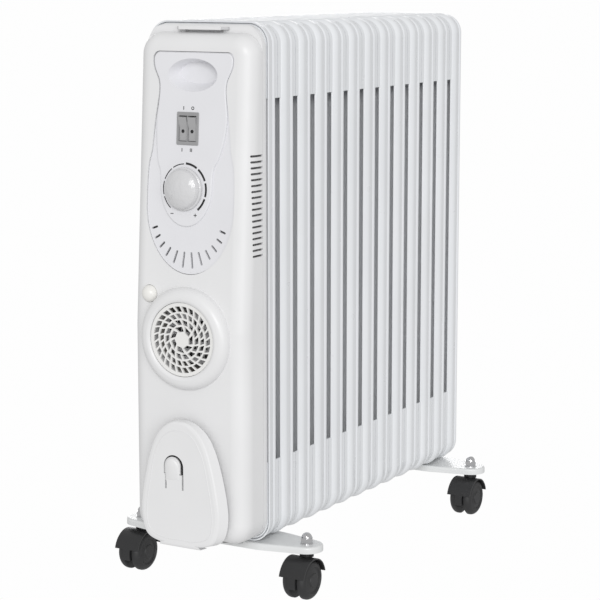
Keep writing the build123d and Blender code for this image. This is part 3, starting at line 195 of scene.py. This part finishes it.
def add_piece(name, mesh_or_bmesh, slot, body="root", material=None, smooth=True):
    """Puts a finished mesh into the scene, on its body, with its material."""
    if isinstance(mesh_or_bmesh, bmesh.types.BMesh):
        mesh = bpy.data.meshes.new(name)
        bmesh.ops.recalc_face_normals(mesh_or_bmesh, faces=mesh_or_bmesh.faces[:])
        mesh_or_bmesh.to_mesh(mesh)
        mesh_or_bmesh.free()
    else:
        mesh = mesh_or_bmesh
    piece = bpy.data.objects.new(name, mesh)
    bpy.context.scene.collection.objects.link(piece)
    mesh.materials.append(material or MATERIALS[slot])
    for polygon in mesh.polygons:
        polygon.use_smooth = smooth
    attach(piece, body)
    return piece


def add_walls(work, near, far):
    """Closes the side between two rings of matching points."""
    for i in range(len(near)):
        j = (i + 1) % len(near)
        work.faces.new((near[i], near[j], far[j], far[i]))


def plate_from_outline(points, out_low, out_high, centre=DIAL_CENTRE):
    """A thin closed plate on the leaning face from (right, up) outline points."""
    work = bmesh.new()
    low = [work.verts.new(on_face(x, up, out_low, centre)) for x, up in points]
    high = [work.verts.new(on_face(x, up, out_high, centre)) for x, up in points]
    work.faces.new(high)
    work.faces.new(list(reversed(low)))
    add_walls(work, low, high)
    return work


# ---- Printed dial: four thin arcs on the cool side, four thick ones on the hot side ----
DIAL_INNER = 27.0 * MM
DIAL_ARCS = 8
DIAL_SWEEP = math.radians(286)
DIAL_GAP = math.radians(5.0)
THIN_ARC = 1.1 * MM
THICK_ARC = 2.4 * MM
SIGN_LONG = 4.0 * MM        # the minus sign, and both bars of the plus sign
SIGN_THICK = 0.8 * MM
PRINT = 0.12 * MM           # how far a printed mark stands out
PRINT_ROOT = 0.05 * MM      # how far it reaches into the face


def arc_outline(start, end, inner, outer, steps=14):
    """Outline of a curved bar, with angles clockwise from the top."""
    turns = [start + (end - start) * i / steps for i in range(steps + 1)]
    outer_edge = [(math.sin(turn) * outer, math.cos(turn) * outer) for turn in turns]
    inner_edge = [(math.sin(turn) * inner, math.cos(turn) * inner) for turn in reversed(turns)]
    return outer_edge + inner_edge


def bar_outline(x, up, width, height):
    """Outline of an upright bar round a middle."""
    w, h = width / 2, height / 2
    return [(x - w, up - h), (x + w, up - h), (x + w, up + h), (x - w, up + h)]


def disc_outline(x, up, radius, count=32):
    """Outline of a round dot."""
    turns = [2 * math.pi * i / count for i in range(count)]
    return [(x + math.cos(turn) * radius, up + math.sin(turn) * radius) for turn in turns]


def print_mark(name, outline, centre=DIAL_CENTRE, lift=0.0):
    """A printed black mark on the tongue of the control face."""
    shape = plate_from_outline(outline, lift - PRINT_ROOT, lift + PRINT, centre)
    return add_piece(name, shape, "gland_black", material=INK, smooth=False)


def dial_scale():
    """The arcs round the knob, a minus at their cool end and a plus at their hot end."""
    step = DIAL_SWEEP / DIAL_ARCS
    for arc in range(DIAL_ARCS):
        begin = -DIAL_SWEEP / 2 + arc * step + DIAL_GAP / 2
        width = THIN_ARC if arc < DIAL_ARCS / 2 else THICK_ARC
        outline = arc_outline(begin, begin + step - DIAL_GAP, DIAL_INNER, DIAL_INNER + width)
        print_mark(f"dial_arc_{arc + 1}", outline)
    print_mark("dial_minus", bar_outline(-15.5 * MM, -27.5 * MM, SIGN_LONG, SIGN_THICK))
    print_mark("dial_plus_bar", bar_outline(15.0 * MM, -28.0 * MM, SIGN_LONG, SIGN_THICK))
    print_mark("dial_plus_upright", bar_outline(15.0 * MM, -28.0 * MM, SIGN_THICK, SIGN_LONG))


dial_scale()

# ---- Marks round the twin switch, and a dot on each rocker ----
LEFT_PIVOT = Vector(JOINTS["left_switch_rock"]["pos_m"])
RIGHT_PIVOT = Vector(JOINTS["right_switch_rock"]["pos_m"])
TONGUE_LIFT = 2.0 * MM      # the printed face above the rockers' pin
ROCKER_FACE = 1.48 * MM     # the level half of a rocker above its pin
STROKE_WIDTH = 0.9 * MM
STROKE_TALL = 3.8 * MM


def switch_stroke(name, x, up, pivot):
    """One upright printed stroke, placed from a rocker's pin."""
    print_mark(name, bar_outline(x, up, STROKE_WIDTH, STROKE_TALL), pivot, TONGUE_LIFT)


def switch_marks():
    """A stroke and a ring over the rockers, one stroke and two strokes under them."""
    above = 22.3 * MM
    below = -23.3 * MM
    switch_stroke("mark_one_upper", 0, above, LEFT_PIVOT)
    nearly_round = 2 * math.pi - 0.001      # leaves the outline's two ends just apart
    ring = arc_outline(0, nearly_round, 1.1 * MM, 1.9 * MM, 40)
    ring = [(x, up + above) for x, up in ring]
    print_mark("mark_ring", ring, RIGHT_PIVOT, TONGUE_LIFT)
    switch_stroke("mark_one_lower", -1.0 * MM, below, LEFT_PIVOT)
    switch_stroke("mark_two_left", -1.9 * MM, below, RIGHT_PIVOT)
    switch_stroke("mark_two_right", -0.1 * MM, below, RIGHT_PIVOT)


def rocker_dot(name, pivot, body):
    """A round dot on a rocker's level half, which rocks with it."""
    outline = disc_outline(-0.6 * MM, -3.0 * MM, 2.0 * MM)
    shape = plate_from_outline(outline, ROCKER_FACE - 0.3 * MM, ROCKER_FACE + 0.15 * MM, pivot)
    add_piece(name, shape, "gland_black", body=body, material=INK, smooth=False)


switch_marks()
rocker_dot("rocker_dot_left", LEFT_PIVOT, "rocker_left")
rocker_dot("rocker_dot_right", RIGHT_PIVOT, "rocker_right")


# ---- Knob relief ----
CROWN_TOP = 15.1 * MM       # the knob's crown over the tongue, at its middle
CROWN_FALL = 14.3           # how it drops, per metre of reach squared
POINTER_STEPS = 12
POINTER_NEAR = 8.0 * MM     # the rib's ends, from the knob's axis
POINTER_FAR = 19.0 * MM
POINTER_HALF = 0.9 * MM
POINTER_PROFILE = ((-1.0, -1.0), (-0.8, 0.5), (0.0, 1.0), (0.8, 0.5), (1.0, -1.0))
KNURL_RIBS = 60
KNURL_HALF = 0.45 * MM


def dome_height(reach):
    """The knob's crown above the tongue, in metres."""
    return CROWN_TOP - CROWN_FALL * reach * reach


def knob_pointer():
    """A raised rib on the crown that points towards the cool end of the dial at rest."""
    work = bmesh.new()
    along = Vector((-math.sin(math.radians(45)), -math.cos(math.radians(45))))
    across = Vector((-along.y, along.x))
    rings = []
    for i in range(POINTER_STEPS + 1):
        share = i / POINTER_STEPS
        reach = POINTER_NEAR + (POINTER_FAR - POINTER_NEAR) * share
        swell = math.sin(math.pi * (0.08 + 0.84 * share)) ** 0.5
        ring = []
        for side, lift in POINTER_PROFILE:
            spot = along * reach + across * side * swell * POINTER_HALF
            ring.append(work.verts.new(on_face(spot.x, spot.y, dome_height(reach) + lift * swell * MM)))
        rings.append(ring)
    for near, far in zip(rings, rings[1:]):
        add_walls(work, near, far)
    work.faces.new(rings[0])
    work.faces.new(rings[-1])
    add_piece("knob_pointer", work, "knob_white", body="knob")


def knurl_ring(work, turn, root, tip, height):
    """The three corners of one rib's section, at a turn round the knob and a height above the tongue."""
    out_dir = Vector((math.cos(turn), math.sin(turn)))
    side = Vector((-out_dir.y, out_dir.x)) * KNURL_HALF
    spots = (out_dir * root - side, out_dir * tip, out_dir * root + side)
    return [work.verts.new(on_face(spot.x, spot.y, height)) for spot in spots]


def knob_knurl():
    """Fine upright ribs round the knob's side for grip."""
    work = bmesh.new()
    for i in range(KNURL_RIBS):
        turn = 2 * math.pi * i / KNURL_RIBS
        low_ring = knurl_ring(work, turn, root=20.8 * MM, tip=22.35 * MM, height=3.2 * MM)
        high_ring = knurl_ring(work, turn, root=19.8 * MM, tip=20.9 * MM, height=8.6 * MM)
        work.faces.new(list(reversed(low_ring)))
        work.faces.new(high_ring)
        add_walls(work, low_ring, high_ring)
    add_piece("knob_knurl", work, "knob_white", body="knob", smooth=False)


knob_pointer()
knob_knurl()


# ---- Cord winder cover ----
LIP_LEVELS = 5              # rings from the clip's face out to its bowed front
LIP_STEPS = 16              # steps round the lip's half circle


def tube_along(name, points, radius, slot):
    """A fine closed bead along smooth points."""
    curve = bpy.data.curves.new(name, "CURVE")
    curve.dimensions = "3D"
    curve.bevel_depth = radius
    curve.bevel_resolution = 3
    curve.resolution_u = 8
    spline = curve.splines.new("BEZIER")
    spline.bezier_points.add(len(points) - 1)
    for knot, point in zip(spline.bezier_points, points):
        knot.co = point
        knot.handle_left_type = "AUTO"
        knot.handle_right_type = "AUTO"
    spline.use_cyclic_u = True
    holder = bpy.data.objects.new(name + "_curve", curve)
    bpy.context.scene.collection.objects.link(holder)
    bpy.context.view_layer.update()
    mesh = bpy.data.meshes.new_from_object(holder)
    bpy.data.objects.remove(holder)
    mesh.materials.clear()
    return add_piece(name, mesh, slot)


def box_piece(name, low, high, slot, bevel=0.0):
    """A small block between two corners; a bevel softens its edges."""
    work = bmesh.new()
    bmesh.ops.create_cube(work, size=1.0)
    low = Vector(low)
    high = Vector(high)
    for corner in work.verts:
        corner.co = Vector((
            low[axis] + (high[axis] - low[axis]) * (corner.co[axis] + 0.5) for axis in range(3)
        ))
    if bevel:
        bmesh.ops.bevel(work, geom=work.edges[:], offset=bevel, segments=2, affect="EDGES", profile=0.6)
    return add_piece(name, work, slot, smooth=False)


def cover_bead():
    """A faint raised line that follows the cover's outline on its front."""
    low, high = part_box("cord_winder_cover")
    half = (high[0] - low[0]) / 2
    tall = high[2] - low[2]
    right_side = (
        (0.0, 0.93), (0.28, 0.895), (0.44, 0.82), (0.56, 0.71), (0.655, 0.54),
        (0.735, 0.35), (0.75, 0.22), (0.67, 0.115), (0.42, 0.068), (0.0, 0.06),
    )
    loop = [(x, up) for x, up in right_side] + [(-x, up) for x, up in reversed(right_side[1:-1])]
    points = [(x * half, low[1] + 0.1 * MM, low[2] + up * tall) for x, up in loop]
    tube_along("cover_bead", points, 0.5 * MM, "panel_white")


def clip_painted_shade():
    """A dark plate just behind the plug clip's window, painted shade that makes the shallow gap there read as a
    deep opening.
    """
    low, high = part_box("plug_clip")
    box_piece(
        "clip_painted_shade",
        (low[0] - 2.0 * MM, high[1] - 0.6 * MM, low[2] - 4.0 * MM),
        (high[0] + 5.5 * MM, high[1] - 0.1 * MM, high[2] + 3.5 * MM),
        "inner_black",
    )


def clip_lip():
    """The clip's tongue bows out of its window towards the arch."""
    low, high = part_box("plug_clip")
    middle = (low[0] + high[0]) / 2
    half = (high[0] - low[0]) / 2 - 0.7 * MM
    work = bmesh.new()
    base = low[2] + 1.5 * MM
    crown = high[2] - 0.8 * MM - half
    rings = []
    for level in range(LIP_LEVELS):
        shrink = half * (1 - 0.07 * level * level / 4)
        foot = base + level * 0.7 * MM
        outline = [(middle + shrink, foot), (middle + shrink, crown)]
        for i in range(1, LIP_STEPS):
            turn = math.pi * i / LIP_STEPS
            outline.append((middle + math.cos(turn) * shrink, crown + math.sin(turn) * shrink))
        outline += [(middle - shrink, crown), (middle - shrink, foot)]
        ring = []
        for x, z in outline:
            rise = max(0.0, (z - base) / (high[2] - base))
            ring.append(work.verts.new((x, low[1] + 0.6 * MM - level * (0.15 + 0.85 * rise) * MM, z)))
        rings.append(ring)
    for near, far in zip(rings, rings[1:]):
        add_walls(work, near, far)
    work.faces.new(rings[0])
    work.faces.new(rings[-1])
    add_piece("clip_lip", work, "panel_white")


cover_bead()
clip_painted_shade()
clip_lip()


# ---- Visor over the top vent ----
def hood_lip():
    """A white rim along the front of the grey visor; the visor's grey is painted shade for the inside of its
    shallow pocket.
    """
    low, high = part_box("top_vent_hood")
    box_piece(
        "hood_lip",
        (low[0] + 5.6 * MM, low[1] - 0.7 * MM, low[2] - 0.3 * MM),
        (high[0] - 5.6 * MM, low[1] + 0.9 * MM, high[2] + 0.3 * MM),
        "panel_white",
        bevel=0.3 * MM,
    )


hood_lip()


# ---- Light and camera ----
def sun_light(name, azimuth, height, strength, spread, color=(1.0, 1.0, 1.0)):
    """Broad even light; azimuth turns from the front towards the right."""
    data = bpy.data.lights.new(name, "SUN")
    data.energy = strength
    data.angle = math.radians(spread)
    data.color = color
    lamp = bpy.data.objects.new(name, data)
    turn = math.radians(azimuth)
    rise = math.radians(height)
    come_from = Vector((math.sin(turn) * math.cos(rise), -math.cos(turn) * math.cos(rise), math.sin(rise)))
    lamp.rotation_euler = (-come_from).to_track_quat("-Z", "Y").to_euler()
    lamp.location = come_from * 3.0
    bpy.context.scene.collection.objects.link(lamp)


def studio_world(seen, ambient):
    """White behind the object, and a softer white for the light that falls on it."""
    world = bpy.data.worlds.new("studio")
    bpy.context.scene.world = world
    world.use_nodes = True
    tree = world.node_tree
    lighting = tree.nodes["Background"]
    lighting.inputs["Color"].default_value = (1.0, 1.0, 1.0, 1.0)
    lighting.inputs["Strength"].default_value = ambient
    backdrop = tree.nodes.new("ShaderNodeBackground")
    backdrop.inputs["Color"].default_value = (1.0, 1.0, 1.0, 1.0)
    backdrop.inputs["Strength"].default_value = seen
    rays = tree.nodes.new("ShaderNodeLightPath")
    mix = tree.nodes.new("ShaderNodeMixShader")
    tree.links.new(rays.outputs["Is Camera Ray"], mix.inputs["Fac"])
    tree.links.new(lighting.outputs["Background"], mix.inputs[1])
    tree.links.new(backdrop.outputs["Background"], mix.inputs[2])
    tree.links.new(mix.outputs["Shader"], tree.nodes["World Output"].inputs["Surface"])


studio_world(seen=0.99, ambient=0.6)
sun_light("key", 27.0, 22.0, 0.98, 22.0, (1.0, 0.998, 0.995))
sun_light("side_fill", 50.0, 8.0, 0.5, 30.0, (0.98, 0.985, 1.0))
sun_light("back_fill", 215.0, 10.0, 0.4, 30.0, (0.99, 0.99, 1.0))


def place_camera(location, turn, down, lens):
    """A camera that looks along +Y, turned left and tipped down by degrees, with its lens in mm."""
    data = bpy.data.cameras.new("camera")
    data.sensor_width = 36.0
    data.lens = lens
    camera = bpy.data.objects.new("camera", data)
    camera.location = location
    camera.rotation_euler = (math.radians(90 - down), 0.0, math.radians(turn))
    bpy.context.scene.collection.objects.link(camera)
    bpy.context.scene.camera = camera


place_camera((1.2326, -2.0857, 0.6989), turn=30.66, down=9.29, lens=122.16)
bpy.context.scene.view_settings.view_transform = "Standard"
